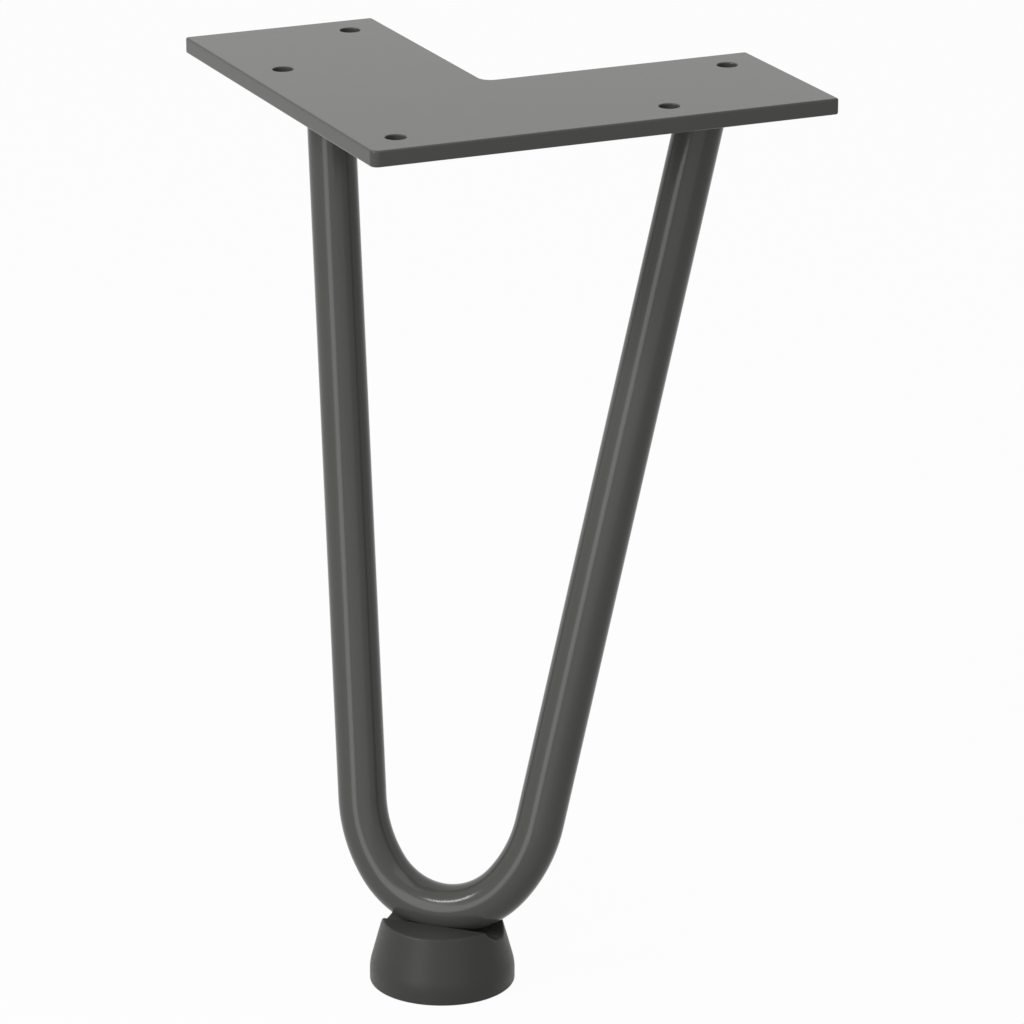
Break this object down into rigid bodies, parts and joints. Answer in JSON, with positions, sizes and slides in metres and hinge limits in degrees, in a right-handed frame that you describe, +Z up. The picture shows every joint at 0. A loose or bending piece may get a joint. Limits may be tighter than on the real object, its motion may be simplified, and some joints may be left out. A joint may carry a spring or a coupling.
{
  "type": "hairpin table leg",
  "caption": "Short hairpin leg: a bent round bar welded under an L-shaped screw plate, standing on a conical foot.",
  "frame": {"origin": "middle of the foot's base, on the floor", "axes": "+Z up to the tabletop; +X and +Y along the two arms of the plate, away from the plate's outer corner, so that the leg leans out towards -X -Y at the floor"},
  "size_m": [0.12, 0.12, 0.2218],
  "materials": {
    "powder_coated_plate": "satin anthracite powder coat on steel",
    "powder_coated_bar": "satin anthracite powder coat on steel",
    "powder_coated_weld": "satin anthracite powder coat on weld",
    "foot_rubber": "matt moulded rubber, anthracite"
  },
  "bodies": {
    "root": {"top_plate": "powder_coated_plate", "hairpin_rod": "powder_coated_bar", "left_weld_bead": "powder_coated_weld", "right_weld_bead": "powder_coated_weld", "foot": "foot_rubber"}
  },
  "joints": []
}
